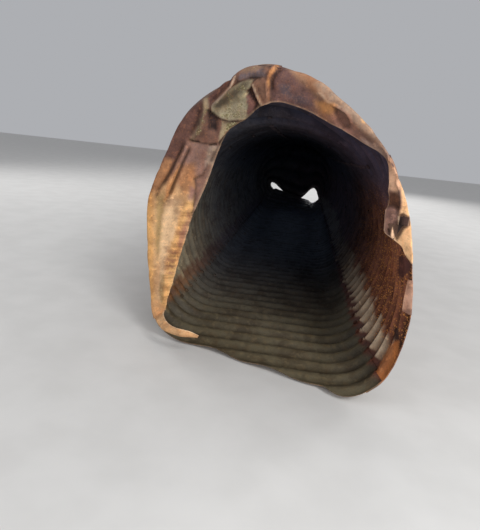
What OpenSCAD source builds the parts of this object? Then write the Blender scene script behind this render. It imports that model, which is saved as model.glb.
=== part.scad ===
// Corrugated steel culvert: four rings of lapped plates, a crumpled mouth and a crushed far end.
// X runs across the pipe, Y along it from the mouth inward, and Z up from the surface it rests on.

/* [Barrel] */
// Inside diameter of the round part, from crest to crest
inside_d = 1660; // [1400:10:2000]
// Radius of the two bottom corners, to the middle of the corrugation
corner_r = 320; // [260:10:400]
// Angle below level at which the round side turns into the corner
corner_turn = 37; // [32:1:45]

/* [Corrugated sheet] */
// Distance from one corrugation to the next
corr_pitch = 152; // [120:1:180]
// Depth of the corrugation
corr_depth = 51; // [30:1:60]
// Thickness of the steel
plate_t = 5; // [3:0.5:7]
// Clearance between lapped sheets
sheet_gap = 0.4; // [0.3:0.1:1]

/* [Rings] */
// Corrugations from the mouth to the first ring lap
first_pitches = 12; // [10:1:16]
// Corrugations from one ring lap to the next
ring_pitches = 16; // [10:1:20]
// Corrugations that two rings share where they lap
ring_lap_pitches = 1; // [1:1:2]
// Width of the lap between plates of one ring
side_lap = 110; // [80:5:140]
// Angle of the seam between the left plate and the crown plate
left_seam = 95; // [90:1:100]
// Angle of the seam between the crown plate and the right plate
right_seam = 46; // [42:1:52]

/* [Mouth] */
// Corrugations over which the mouth leaves the round section
mouth_pitches = 7; // [6:1:8]
// Bend radius of the folded rim
fold_r = 24; // [15:1:30]
// Depth left of the corrugation at the folded rim, as a share
rim_wave = 0.5; // [0.3:0.05:0.8]

/* [Far end] */
// Corrugations over which the far end is crushed
outlet_pitches = 6; // [5:1:8]

/* [Hidden] */

// Straight steps that one corrugation is drawn with
wave_steps = 4;
// Smoothness of the bent plates
plate_fn = 96;
// Radius of the round part to the middle of the corrugation
mean_r = inside_d / 2 + corr_depth / 2;
// Offset from one sheet to the next where they lap
layer_step = plate_t + sheet_gap;
// Layers above the innermost sheet that the lowest plate lies in
lowest_layer = 2;
// Height of the flat bottom, to the middle of the corrugation of the innermost sheet
flat_z = corr_depth / 2 + lowest_layer * layer_step + plate_t;
// Half width of the flat bottom
flat_half = (mean_r - corner_r) * cos(corner_turn);
// Height of the axis of the round part
axis_z = flat_z + corner_r + (mean_r - corner_r) * sin(corner_turn);
// Half a side lap, as an angle of the round part and of a corner
half_lap = side_lap / mean_r * 90 / PI;
corner_half_lap = side_lap / corner_r * 90 / PI;
// The angle at which a corner ends, counted on at the round part's rate
corner_end = -corner_turn - (90 - corner_turn) * corner_r / mean_r;
// Span of angle by which the rim tables know the flat bottom
flat_span = 10;
// Rings of plates along the pipe
rings = 4;
// Where the deformed mouth meets the round first ring, a whole number of corrugations in
mouth_y = round(mouth_pitches) * corr_pitch;
// The origin lies under a crest of the first ring, one corrugation in
origin_y = mouth_y + corr_pitch;
// Where the far end stops
outlet_y = lap_start(rings);
// Where the crushed far end starts
crush_y = outlet_y - round(outlet_pitches) * corr_pitch;

// The rim at the mouth, by angle round the pipe: how far it has moved across and up from the round
// section, and how far along the pipe it stands, all as shares of the mean radius. The first row is
// the left end of the flat bottom.
MOUTH_RIM = [
    [corner_end - flat_span, 0, 0, 0.52], [corner_end, 0, 0, 0.14], [-36, 0.02, -0.03, 0],
    [-12, -0.04, 0, -0.02], [10, -0.09, -0.01, 0], [30, -0.05, -0.02, 0.02],
    [50, 0.04, 0.05, 0.08], [70, 0.05, 0.15, 0.15], [85, 0.03, 0.26, 0.25],
    [95, -0.03, 0.29, 0.31], [108, -0.08, 0.23, 0.41], [122, -0.09, 0.15, 0.49],
    [140, -0.03, 0.04, 0.57], [160, 0, 0, 0.61], [182, 0.07, 0, 0.61],
    [204, 0.04, 0.01, 0.59], [216, -0.01, -0.02, 0.57], [180 - corner_end, 0, 0, 0.52]
];
// The same for the far end, whose crown is pressed down: the last value runs back from the end
OUTLET_RIM = [
    [corner_end - flat_span, 0, 0.4, 0], [corner_end, -0.03, 0.17, 0], [-36, -0.1, 0.03, 0],
    [0, -0.3, -0.36, 0.02], [22, -0.3, -0.6, 0.04], [45, -0.2, -0.93, 0.06],
    [65, -0.17, -1.37, 0.08], [88, -0.04, -1.415, 0.1], [110, 0.11, -1.3, 0.08],
    [132, 0.24, -1.01, 0.05], [150, 0.34, -0.7, 0.03], [165, 0.34, -0.43, 0.02],
    [182, 0.34, -0.18, 0], [200, 0.3, 0.05, 0], [216, 0.2, 0.26, 0],
    [180 - corner_end, 0, 0.4, 0]
];
// The lips' free edge, by angle: its distance from the axis and how far back from the rim it lies,
// as shares of the mean radius.
LIP_EDGE = [
    [-10, 0.96, 0], [-6, 0.93, 0.02], [0, 0.92, 0.02], [6, 0.93, 0.02], [9, 0.95, 0.01],
    [12, 0.95, 0.01], [16, 0.92, 0.03], [20, 0.9, 0.04], [23, 0.865, 0.05], [26, 0.83, 0.06],
    [30, 0.845, 0.06], [38, 0.92, 0.05], [45, 1.01, 0.04], [49, 1.05, 0.03], [60, 1.04, 0.05],
    [72, 1.04, 0.06], [84, 1.08, 0.06], [92, 1.1, 0.06], [97, 1.08, 0.06], [104, 1.01, 0.08],
    [112, 0.97, 0.1], [119, 0.88, 0.1], [126, 0.8, 0.1], [136, 0.72, 0.1], [146, 0.68, 0.1],
    [162, 0.66, 0.1], [178, 0.67, 0.1], [190, 0.71, 0.08], [205, 0.81, 0.06], [216, 0.95, 0.04]
];
// Angles that the lips run between
right_hem_ends = [-6, 6];
right_flap_ends = [12, 30];
right_strip_ends = [30, 49];
right_lip_ends = [49, 92];
crown_pleat_ends = [92, 98];
upper_left_ends = [98, 120];
left_lip_ends = [120, 216];

// Height of the corrugation at a place along the pipe, from -1 to 1, with flat crests
function wave(y) = max(-1, min(1, cos(360 * y / corr_pitch) / cos(180 / wave_steps)));
// Places along the pipe at which the corrugation's profile turns
function turns(y0, y1) = [
    y0,
    for (k = [ceil(y0 / corr_pitch * wave_steps - 0.5) : floor(y1 / corr_pitch * wave_steps - 0.5)])
        (k + 0.5) * corr_pitch / wave_steps,
    y1
];
// Closed profile of a corrugated sheet, as distance outward and place along the pipe
function profile(base, y0, y1) = let (ys = turns(y0, y1), n = len(ys)) concat(
    [for (y = ys) [base + wave(y) * corr_depth / 2, y]],
    [for (i = [n - 1 : -1 : 0]) [base + wave(ys[i]) * corr_depth / 2 + plate_t, ys[i]]]
);

// A sheet bent round an axis along the pipe at [x, z]
module arc_sheet(centre, radius, from, to, y0, y1, layer) {
    translate([centre[0], -origin_y, centre[1]])
        rotate([90, 0, 0])
            rotate([0, 0, from])
                rotate_extrude(angle = to - from, $fn = plate_fn)
                    mirror([0, 1])
                        polygon(profile(radius + layer * layer_step, y0, y1));
}

// The flat sheet of the bottom, between the two corners
module flat_sheet(y0, y1, layer) {
    translate([-flat_half, -origin_y, flat_z])
        rotate([90, 0, 90])
            linear_extrude(2 * flat_half)
                rotate(-90)
                    polygon(profile(layer * layer_step, y0, y1));
}

// One bottom corner, with its half of the lap against the side plate
module corner_sheet(y0, y1, layer) {
    arc_sheet([flat_half, flat_z + corner_r], corner_r, -90, corner_half_lap - corner_turn,
        y0, y1, layer);
}

// Every second ring lies outside its neighbours, and each ring's sides lie outside its other plates
function ring_layer(ring) = ring % 2 == 1 ? 2 : 0;
function lap_start(ring) = (round(first_pitches) + round(ring_pitches) * (ring - 1)) * corr_pitch;
function ring_start(ring) = ring == 1 ? mouth_y : lap_start(ring - 1);
function ring_end(ring) = ring == rings ? crush_y : lap_start(ring) + ring_lap_pitches * corr_pitch;

module ring_sheet(ring, from, to, layer) {
    arc_sheet([0, axis_z], mean_r, from, to, ring_start(ring), ring_end(ring),
        ring_layer(ring) + layer);
}

module ring_left_plate(ring) {
    ring_sheet(ring, left_seam - half_lap, 180 + corner_turn + half_lap, 1);
}

module ring_right_plate(ring) {
    ring_sheet(ring, -corner_turn - half_lap, right_seam + half_lap, 1);
}

module ring_crown_plate(ring) {
    ring_sheet(ring, right_seam - half_lap, left_seam + half_lap, 0);
}

module ring_invert_plate(ring) {
    flat_sheet(ring_start(ring), ring_end(ring), ring_layer(ring));
    corner_sheet(ring_start(ring), ring_end(ring), ring_layer(ring));
    mirror([1, 0, 0])
        corner_sheet(ring_start(ring), ring_end(ring), ring_layer(ring));
}

// One column of the rim tables as pairs for lookup
function column(table, k) = [for (row = table) [row[0], row[k]]];
MOUTH_X = column(MOUTH_RIM, 1);
MOUTH_Z = column(MOUTH_RIM, 2);
MOUTH_Y = column(MOUTH_RIM, 3);
OUTLET_X = column(OUTLET_RIM, 1);
OUTLET_Z = column(OUTLET_RIM, 2);
OUTLET_Y = column(OUTLET_RIM, 3);
LIP_R = column(LIP_EDGE, 1);
LIP_Y = column(LIP_EDGE, 2);

// A station of the cross-section: [x, z] of the middle line, [x, z] of its outward normal, and the
// angle by which the rim tables know it
function round_station(a) = [[mean_r * cos(a), axis_z + mean_r * sin(a)], [cos(a), sin(a)], a];
// A corner sheet laps the side plate, so the tables know it by the angle at the round part's rate
function side_angle(a) = (a + corner_turn) * corner_r / mean_r - corner_turn;
function corner_station(side, a) = [
    [side * (flat_half + corner_r * cos(a)), flat_z + corner_r + corner_r * sin(a)],
    [side * cos(a), sin(a)],
    side > 0 ? side_angle(a) : 180 - side_angle(a)
];
function flat_station(x) = [
    [x, flat_z], [0, -1], corner_end - flat_span / 2 * (1 - x / flat_half)
];

// A point of the deformed wall: v runs from 0 at the round barrel to 1 at the rim
function ease(v) = v * v * (3 - 2 * v);
function mouth_rim_y(a) = lookup(a, MOUTH_Y) * mean_r;
function mouth_point(st, v, offset) = let (
    y = mouth_y + (mouth_rim_y(st[2]) - mouth_y) * v,
    off = offset + wave(y) * corr_depth / 2 * (1 - (1 - rim_wave) * v * v)
) [
    st[0][0] + ease(v) * lookup(st[2], MOUTH_X) * mean_r + st[1][0] * off,
    y,
    st[0][1] + ease(v) * lookup(st[2], MOUTH_Z) * mean_r + st[1][1] * off
];
function outlet_point(st, v, offset) = let (
    rim_y = outlet_y - lookup(st[2], OUTLET_Y) * mean_r,
    y = crush_y + (rim_y - crush_y) * v,
    off = offset + wave(y) * corr_depth / 2
) [
    st[0][0] + ease(v) * lookup(st[2], OUTLET_X) * mean_r + st[1][0] * off,
    y,
    st[0][1] + ease(v) * lookup(st[2], OUTLET_Z) * mean_r + st[1][1] * off
];

// A closed sheet from two grids of points, each [column][row], the rows running towards the mouth
module grid_sheet(inner, outer) {
    n = len(inner);
    m = len(inner[0]);
    k = n * m;
    quads = concat(
        [for (i = [0 : n - 2], j = [0 : m - 2])
            [k + i * m + j, k + i * m + j + 1, k + (i + 1) * m + j + 1, k + (i + 1) * m + j]],
        [for (i = [0 : n - 2], j = [0 : m - 2])
            [i * m + j, (i + 1) * m + j, (i + 1) * m + j + 1, i * m + j + 1]],
        [for (i = [0 : n - 2]) [k + i * m, k + (i + 1) * m, (i + 1) * m, i * m]],
        [for (i = [0 : n - 2])
            [i * m + m - 1, (i + 1) * m + m - 1, k + (i + 1) * m + m - 1, k + i * m + m - 1]],
        [for (j = [0 : m - 2]) [j, j + 1, k + j + 1, k + j]],
        [for (j = [0 : m - 2])
            [k + (n - 1) * m + j, k + (n - 1) * m + j + 1, (n - 1) * m + j + 1, (n - 1) * m + j]]
    );
    translate([0, -origin_y, 0])
        polyhedron(
            points = concat([for (c = inner) each c], [for (c = outer) each c]),
            faces = [for (q = quads) each [[q[0], q[1], q[2]], [q[0], q[2], q[3]]]],
            convexity = 10
        );
}

// Rows of the deformed walls, in each corrugation's length
rows_per_pitch = 5;
mouth_rows = round(mouth_pitches) * rows_per_pitch;
outlet_rows = round(outlet_pitches) * rows_per_pitch;

module mouth_wall(stations, layer) {
    off = layer * layer_step;
    grid_sheet(
        [for (st = stations) [for (j = [0 : mouth_rows]) mouth_point(st, j / mouth_rows, off)]],
        [for (st = stations)
            [for (j = [0 : mouth_rows]) mouth_point(st, j / mouth_rows, off + plate_t)]]
    );
}

module outlet_wall(stations, layer) {
    off = layer * layer_step;
    grid_sheet(
        [for (st = stations)
            [for (j = [outlet_rows : -1 : 0]) outlet_point(st, j / outlet_rows, off)]],
        [for (st = stations)
            [for (j = [outlet_rows : -1 : 0]) outlet_point(st, j / outlet_rows, off + plate_t)]]
    );
}

// Angles from one to another in even steps of about the given size
function spread(a, b, step) = let (n = ceil((b - a) / step)) [for (i = [0 : n]) a + (b - a) * i / n];
wall_step = 12;
corner_step = 24;
// Stations of the walls and of the bottom, with one at each edge of a lap and at its middle
function round_stations(angles) = [for (a = angles) round_station(a)];
right_stations = round_stations(concat(
    [-corner_turn - half_lap, -corner_turn],
    spread(half_lap - corner_turn, right_seam - half_lap, wall_step),
    [right_seam + half_lap]
));
left_stations = round_stations(concat(
    [left_seam - half_lap],
    spread(left_seam + half_lap, 180 + corner_turn - half_lap, wall_step),
    [180 + corner_turn, 180 + corner_turn + half_lap]
));
crown_stations = round_stations(concat(
    [right_seam - half_lap],
    spread(right_seam + half_lap, left_seam - half_lap, wall_step),
    [left_seam + half_lap]
));
corner_angles = concat(
    spread(-90, -corner_turn - corner_half_lap, corner_step),
    [-corner_turn, corner_half_lap - corner_turn]
);
bottom_stations = concat(
    [for (i = [len(corner_angles) - 1 : -1 : 0]) corner_station(-1, corner_angles[i])],
    [flat_station(0)],
    [for (a = corner_angles) corner_station(1, a)]
);

// The folded lips: the sheet bends over at the rim and runs on inward to its free edge
lip_rows = 3;
fold_turns = [0, 45, 90];
// Most of a narrow lip's width that its bend takes
fold_share = 0.4;
function unit(v) = v / norm(v);
function lip_foot(a, layer) = mouth_point(round_station(a), 1, layer * layer_step);
function lip_tip(a) = [
    lookup(a, LIP_R) * mean_r * cos(a),
    mouth_rim_y(a) + lookup(a, LIP_Y) * mean_r,
    axis_z + lookup(a, LIP_R) * mean_r * sin(a)
];
// Points up one station of a lip, each with the direction of its outer side
function lip_column(a, layer) = let (
    foot = lip_foot(a, layer),
    tip = lip_tip(a),
    width = norm([tip[0] - foot[0], tip[2] - foot[2]]),
    in2 = unit([tip[0] - foot[0], tip[2] - foot[2]]),
    inward = [in2[0], 0, in2[1]],
    r = min(fold_r, fold_share * width),
    front = [0, -1, 0],
    top = foot + front * r + inward * r,
    run = tip - top,
    along = run / norm(run),
    facing = [along[1] * inward[0], -norm([along[0], along[2]]), along[1] * inward[2]]
) concat(
    [for (t = fold_turns) [
        foot + front * r * sin(t) + inward * r * (1 - cos(t)),
        t == 0 ? [cos(a), 0, sin(a)] : front * sin(t) - inward * cos(t)
    ]],
    [for (j = [1 : lip_rows]) [top + run * j / lip_rows, facing]]
);

module lip(ends, layer, step) {
    folded_sheet([for (a = spread(ends[0], ends[1], step)) lip_column(a, layer)]);
}

// Steps of angle that the lips, and the short ones at the tear, are drawn with
lip_step = 8;
tear_step = 4;
// Layers of the first ring's sheets
inner_layer = ring_layer(1);
side_layer = inner_layer + 1;

module ring_1_left_plate() { color("#7c5240") ring_left_plate(1); }
module ring_1_crown_plate() { color("#6f4a3c") ring_crown_plate(1); }
module ring_1_right_plate() { color("#7a4a34") ring_right_plate(1); }
module ring_1_invert_plate() { color("#4f3a30") ring_invert_plate(1); }
module ring_2_left_plate() { color("#6b6352") ring_left_plate(2); }
module ring_2_crown_plate() { color("#6a5142") ring_crown_plate(2); }
module ring_2_right_plate() { color("#735042") ring_right_plate(2); }
module ring_2_invert_plate() { color("#4f3a30") ring_invert_plate(2); }
module ring_3_left_plate() { color("#6b6352") ring_left_plate(3); }
module ring_3_crown_plate() { color("#6a5142") ring_crown_plate(3); }
module ring_3_right_plate() { color("#735042") ring_right_plate(3); }
module ring_3_invert_plate() { color("#4f3a30") ring_invert_plate(3); }
module ring_4_left_plate() { color("#6b6352") ring_left_plate(4); }
module ring_4_crown_plate() { color("#6a5142") ring_crown_plate(4); }
module ring_4_right_plate() { color("#735042") ring_right_plate(4); }
module ring_4_invert_plate() { color("#4f3a30") ring_invert_plate(4); }

module mouth_left_wall() { color("#8f6a48") mouth_wall(left_stations, side_layer); }
module mouth_crown_wall() { color("#7f5240") mouth_wall(crown_stations, inner_layer); }
module mouth_right_wall() { color("#8a5534") mouth_wall(right_stations, side_layer); }
module mouth_invert() { color("#4f3a30") mouth_wall(bottom_stations, inner_layer); }

module left_lip() { color("#c48a50") lip(left_lip_ends, side_layer, lip_step); }
module upper_left_fold() { color("#7a6a4c") lip(upper_left_ends, side_layer, lip_step); }
module crown_pleat() { color("#94603c") lip(crown_pleat_ends, inner_layer, lip_step); }
module right_lip() { color("#8e583a") lip(right_lip_ends, inner_layer, lip_step); }
module right_strip() { color("#b27a52") lip(right_strip_ends, side_layer, tear_step); }

// The tail: a band of sheet that stands on edge and runs inward from the left lip's foot, given as
// places of its lower edge across and along the pipe, that edge and the upper one below the axis, and
// how far the upper edge leans across, in shares of the mean radius
TAIL = [
    [-0.79, 0.47, -0.62, -0.565, 0.055], [-0.75, 0.405, -0.62, -0.563, 0.047],
    [-0.71, 0.35, -0.62, -0.563, 0.044], [-0.655, 0.315, -0.62, -0.567, 0.032],
    [-0.6, 0.29, -0.62, -0.567, 0.028], [-0.55, 0.275, -0.62, -0.566, 0.026],
    [-0.49, 0.285, -0.62, -0.577, 0.016], [-0.425, 0.295, -0.62, -0.603, 0.01]
];
function tail_run(i) = let (a = TAIL[max(i - 1, 0)], b = TAIL[min(i + 1, len(TAIL) - 1)])
    unit([b[0] - a[0], b[1] - a[1], 0]);
function tail_column(i) = let (
    p = TAIL[i],
    foot = [p[0], p[1], p[2]],
    rise = [p[4], 0, p[3] - p[2]]
) [for (k = [0, 1]) [mean_r * (foot + k * rise) + [0, 0, axis_z], unit(cross(tail_run(i), rise))]];
function lip_end(a, layer) = let (c = lip_column(a, layer)) [c[0], c[len(c) - 1]];

// The columns' points run from the outer edge to the free edge, each with its outer side's direction
module folded_sheet(columns) {
    grid_sheet(
        [for (c = columns) [for (p = c) p[0]]],
        [for (c = columns) [for (p = c) p[0] + p[1] * plate_t]]
    );
}

module left_tail() {
    color("#b57a48") folded_sheet(concat(
        [lip_end(left_lip_ends[1], side_layer)],
        [for (i = [0 : len(TAIL) - 1]) tail_column(i)]
    ));
}

// The flap below the torn strip and the hem below it
module right_flap() { color("#d09a60") lip(right_flap_ends, side_layer, tear_step); }
module right_hem() { color("#b0735a") lip(right_hem_ends, side_layer, tear_step); }

// Outer radius of the tongue's curled end
curl_r = 22;
// Width of the curled end, round the pipe
curl_width = 48;
// Angle that it is curled through, and one of the steps it is drawn with
curl_turn = 230;
curl_step = 10;
// Place of the tongue, by angle round the pipe, on the front of the folded rim
curl_angle = 29;
// Gap between the tongue and the rim
curl_gap = 0.3;
// Width of the tongue's flat end and how far it hangs below the curl
tongue_w = 75;
tongue_drop = 85;

// The curled sheet seen from above: straight, then bent round
function curl_arc(r) = [
    for (a = [0 : curl_step : curl_turn]) [r * sin(a), r * cos(a) - curl_r]
];
module curled_sheet(height) {
    outer = curl_arc(curl_r);
    inner = curl_arc(curl_r - plate_t);
    linear_extrude(height)
        polygon(concat(
            [[-tongue_w, -plate_t], [-tongue_w, 0]],
            outer,
            [for (i = [len(inner) - 1 : -1 : 0]) inner[i]]
        ));
}

// The small tongue that hangs from the tear: a curled end with a flat triangle below it
module torn_curl() {
    foot = mouth_point(round_station(curl_angle), 1, side_layer * layer_step);
    front = fold_r + plate_t + curl_gap;
    low = -curl_width / 2;
    color("#5a3a30")
        translate(foot - [fold_r * cos(curl_angle), origin_y + front, fold_r * sin(curl_angle)])
            intersection() {
                translate([0, 0, low - tongue_drop])
                    curled_sheet(curl_width + tongue_drop);
                translate([0, plate_t, 0])
                    rotate([90, 0, 0])
                        linear_extrude(2 * (curl_r + plate_t))
                            polygon([
                                [2 * curl_r, -low], [-curl_r, -low], [-curl_r, low],
                                [-tongue_w, low], [-tongue_w / 2, low - tongue_drop],
                                [0, low], [2 * curl_r, low]
                            ]);
            }
}

module outlet_left_wall() { color("#6b6352") outlet_wall(left_stations, 1); }
module outlet_crown_wall() { color("#6a5142") outlet_wall(crown_stations, 0); }
module outlet_right_wall() { color("#735042") outlet_wall(right_stations, 1); }
module outlet_invert() { color("#4f3a30") outlet_wall(bottom_stations, 0); }

ring_1_left_plate();
ring_1_crown_plate();
ring_1_right_plate();
ring_1_invert_plate();
ring_2_left_plate();
ring_2_crown_plate();
ring_2_right_plate();
ring_2_invert_plate();
ring_3_left_plate();
ring_3_crown_plate();
ring_3_right_plate();
ring_3_invert_plate();
ring_4_left_plate();
ring_4_crown_plate();
ring_4_right_plate();
ring_4_invert_plate();
mouth_left_wall();
mouth_crown_wall();
mouth_right_wall();
mouth_invert();
left_lip();
left_tail();
upper_left_fold();
crown_pleat();
right_lip();
right_strip();
right_flap();
right_hem();
torn_curl();
outlet_left_wall();
outlet_crown_wall();
outlet_right_wall();
outlet_invert();
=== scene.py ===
"""A rusted corrugated steel culvert with a crumpled mouth and a crushed far end."""
import math

import bpy
import numpy as np
from mathutils import Matrix, Vector


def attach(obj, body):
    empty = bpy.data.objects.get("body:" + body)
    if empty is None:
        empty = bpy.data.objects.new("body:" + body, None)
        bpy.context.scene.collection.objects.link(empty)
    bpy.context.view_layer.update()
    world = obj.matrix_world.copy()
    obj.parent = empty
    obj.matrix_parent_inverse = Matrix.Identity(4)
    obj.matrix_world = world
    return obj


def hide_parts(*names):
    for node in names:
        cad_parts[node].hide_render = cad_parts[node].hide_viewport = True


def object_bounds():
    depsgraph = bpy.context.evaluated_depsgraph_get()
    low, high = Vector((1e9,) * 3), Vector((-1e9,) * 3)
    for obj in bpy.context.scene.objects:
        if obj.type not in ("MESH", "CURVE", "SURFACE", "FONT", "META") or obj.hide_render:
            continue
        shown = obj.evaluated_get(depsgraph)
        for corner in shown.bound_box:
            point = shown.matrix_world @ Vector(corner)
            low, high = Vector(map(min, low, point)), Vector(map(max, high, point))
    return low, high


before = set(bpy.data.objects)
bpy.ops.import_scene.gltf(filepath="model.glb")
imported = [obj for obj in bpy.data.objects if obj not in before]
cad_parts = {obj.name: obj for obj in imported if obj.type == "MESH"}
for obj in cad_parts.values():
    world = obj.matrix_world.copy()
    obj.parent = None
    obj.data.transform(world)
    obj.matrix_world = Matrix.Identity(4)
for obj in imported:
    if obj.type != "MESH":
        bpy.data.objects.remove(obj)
CAD_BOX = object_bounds()

# The part's measures, in metres and degrees. LAYER is the distance between plates that lap, and
# FLAT_Z the height of the flat bottom's middle
PITCH = 0.152
DEPTH = 0.051
PLATE = 0.005
LAYER = 0.0054
LAP = 0.110
CORNER_R = 0.320
CORNER_TURN = 37
MEAN_R = 0.8555
FLAT_Z = 0.0413
FLAT_HALF = (MEAN_R - CORNER_R) * math.cos(math.radians(CORNER_TURN))
AXIS_Z = FLAT_Z + CORNER_R + (MEAN_R - CORNER_R) * math.sin(math.radians(CORNER_TURN))
# Places along the pipe: its rings, where the bent mouth and the crushed end start, and the origin
FIRST_PITCHES = 12
RING_PITCHES = 16
RING_LAPS = [FIRST_PITCHES + RING_PITCHES * k for k in range(3)]
MOUTH_Y = 7 * PITCH
ORIGIN_Y = 8 * PITCH
OUTLET_Y = (FIRST_PITCHES + 3 * RING_PITCHES) * PITCH
CRUSH_Y = OUTLET_Y - 6 * PITCH
# Angles round the pipe from the right: the seams, half a lap and the ends of the bottom's corners.
# The flat bottom takes FLAT_SPAN degrees of the tables
LEFT_SEAM = 95
RIGHT_SEAM = 46
LEFT_CORNER = 180 + CORNER_TURN
HALF_LAP = math.degrees(LAP / 2 / MEAN_R)
CORNER_END = -CORNER_TURN - (90 - CORNER_TURN) * CORNER_R / MEAN_R
LEFT_END = 180 - CORNER_END
FLAT_SPAN = 10
# How much of the corrugation is left at the rim, by angle: the top of the right lip is pressed flat
RIM_WAVE = ([45, 60, 84, 92], [0.5, 0.0, 0.0, 0.5])

# The rim at the mouth, by angle round the pipe: how far it has moved across and up from the round
# section, and how far along the pipe it stands, as shares of the mean radius
MOUTH_RIM = np.array([
    [CORNER_END - FLAT_SPAN, 0, 0, 0.52], [CORNER_END, 0, 0, 0.14], [-36, 0.02, -0.03, 0],
    [-12, -0.04, 0, -0.02], [10, -0.09, -0.01, 0], [30, -0.05, -0.02, 0.02],
    [50, 0.04, 0.05, 0.08], [70, 0.05, 0.15, 0.15], [85, 0.03, 0.26, 0.25],
    [95, -0.03, 0.29, 0.31], [108, -0.08, 0.23, 0.41], [122, -0.09, 0.15, 0.49],
    [140, -0.03, 0.04, 0.57], [160, 0, 0, 0.61], [182, 0.07, 0, 0.61],
    [204, 0.04, 0.01, 0.59], [216, -0.01, -0.02, 0.57], [LEFT_END, 0, 0, 0.52],
])
# The same for the crushed far end, whose last value runs back from the end
OUTLET_RIM = np.array([
    [CORNER_END - FLAT_SPAN, 0, 0.4, 0], [CORNER_END, -0.03, 0.17, 0], [-36, -0.1, 0.03, 0],
    [0, -0.3, -0.36, 0.02], [22, -0.3, -0.6, 0.04], [45, -0.2, -0.93, 0.06],
    [65, -0.17, -1.395, 0.08], [88, -0.04, -1.44, 0.1], [110, 0.11, -1.33, 0.08],
    [132, 0.24, -1.01, 0.05], [150, 0.34, -0.7, 0.03], [165, 0.34, -0.43, 0.02],
    [182, 0.34, -0.18, 0], [200, 0.3, 0.05, 0], [216, 0.2, 0.26, 0],
    [LEFT_END, 0, 0.4, 0],
])
# The lips' free edge, by angle: its distance from the axis and how far back from the rim it lies
LIP_EDGE = np.array([
    [-10, 0.96, 0], [-6, 0.93, 0.02], [0, 0.92, 0.02], [6, 0.93, 0.02], [9, 0.95, 0.01],
    [12, 0.95, 0.01], [16, 0.92, 0.03], [20, 0.9, 0.04], [23, 0.865, 0.05], [26, 0.83, 0.06],
    [30, 0.845, 0.06], [38, 0.92, 0.05], [45, 1.01, 0.04], [49, 1.05, 0.03], [60, 1.04, 0.05],
    [72, 1.04, 0.06], [84, 1.08, 0.06], [92, 1.1, 0.06], [97, 1.08, 0.06], [104, 1.01, 0.08],
    [112, 0.97, 0.1], [119, 0.88, 0.1], [126, 0.8, 0.1], [136, 0.72, 0.1], [146, 0.68, 0.1],
    [162, 0.66, 0.1], [178, 0.67, 0.1], [190, 0.71, 0.08], [205, 0.81, 0.06], [216, 0.95, 0.04],
])
# The tail that runs on from the left lip's foot: places of its lower edge across and along the pipe,
# that edge and the upper one below the axis, and how far the upper edge leans across
TAIL = np.array([
    [-0.79, 0.47, -0.62, -0.565, 0.055], [-0.75, 0.405, -0.62, -0.563, 0.047],
    [-0.71, 0.35, -0.62, -0.563, 0.044], [-0.655, 0.315, -0.62, -0.567, 0.032],
    [-0.6, 0.29, -0.62, -0.567, 0.028], [-0.55, 0.275, -0.62, -0.566, 0.026],
    [-0.49, 0.285, -0.62, -0.577, 0.016], [-0.425, 0.295, -0.62, -0.603, 0.01],
])

# The camera stands where the photograph was taken from
EYE = Vector((0.16, -2.5 - ORIGIN_Y, 1.382))
YAW, PITCH_DOWN, ROLL = (math.radians(a) for a in (6.2, 14.5, 6.0))
IMAGE = (480, 530)
FOCAL_PX = 471


def camera_axes():
    ahead = Vector((-math.sin(YAW) * math.cos(PITCH_DOWN),
                    math.cos(YAW) * math.cos(PITCH_DOWN), -math.sin(PITCH_DOWN)))
    right = Vector((math.cos(YAW), math.sin(YAW), 0))
    up = right.cross(ahead)
    c, s = math.cos(ROLL), math.sin(ROLL)
    return c * right + s * up, -s * right + c * up, ahead


def photo_place(points):
    """Where points of the model lie in the photograph, in its pixels."""
    right, up, ahead = (np.array(a) for a in camera_axes())
    away = np.asarray(points) - np.array(EYE)
    depth = away @ ahead
    return np.stack([IMAGE[0] / 2 + FOCAL_PX * (away @ right) / depth,
                     IMAGE[1] / 2 - FOCAL_PX * (away @ up) / depth], -1)


def smooth(table, column, keys):
    """A column of a table, as a smooth curve through its rows."""
    x, y = table[:, 0], table[:, column]
    h = np.diff(x)
    d = np.diff(y) / h
    slope = np.concatenate([[d[0]], (d[:-1] * h[1:] + d[1:] * h[:-1]) / (h[:-1] + h[1:]), [d[-1]]])
    keys = np.clip(keys, x[0], x[-1])
    i = np.clip(np.searchsorted(x, keys) - 1, 0, len(h) - 1)
    t = (keys - x[i]) / h[i]
    return ((1 + 2 * t) * (1 - t) ** 2 * y[i] + t * (1 - t) ** 2 * h[i] * slope[i]
            + t * t * (3 - 2 * t) * y[i + 1] + t * t * (t - 1) * h[i] * slope[i + 1])


def section(keys):
    """Points of the pipe's undamaged section and its outward normals, at the tables' angles."""
    keys = np.asarray(keys, float)
    left = keys > LEFT_CORNER
    k = np.where(left, 180 - keys, keys)
    corner = k < -CORNER_TURN
    flat = keys < CORNER_END
    a = np.radians(np.where(corner, (k + CORNER_TURN) * MEAN_R / CORNER_R - CORNER_TURN, k))
    side = np.where(left, -1, 1)
    x = side * np.where(corner, FLAT_HALF + CORNER_R * np.cos(a), MEAN_R * np.cos(a))
    z = np.where(corner, FLAT_Z + CORNER_R * (1 + np.sin(a)), AXIS_Z + MEAN_R * np.sin(a))
    x = np.where(flat, FLAT_HALF * (1 - 2 * (CORNER_END - keys) / FLAT_SPAN), x)
    z = np.where(flat, FLAT_Z, z)
    nx = np.where(flat, 0, side * np.cos(a))
    nz = np.where(flat, -1, np.sin(a))
    return np.stack([x, z], -1), np.stack([nx, nz], -1)


def wave(y):
    return np.cos(2 * math.pi * y / PITCH)


def eased(v):
    """0 below 0, 1 above 1, smooth between."""
    v = np.clip(v, 0, 1)
    return v * v * (3 - 2 * v)


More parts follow.
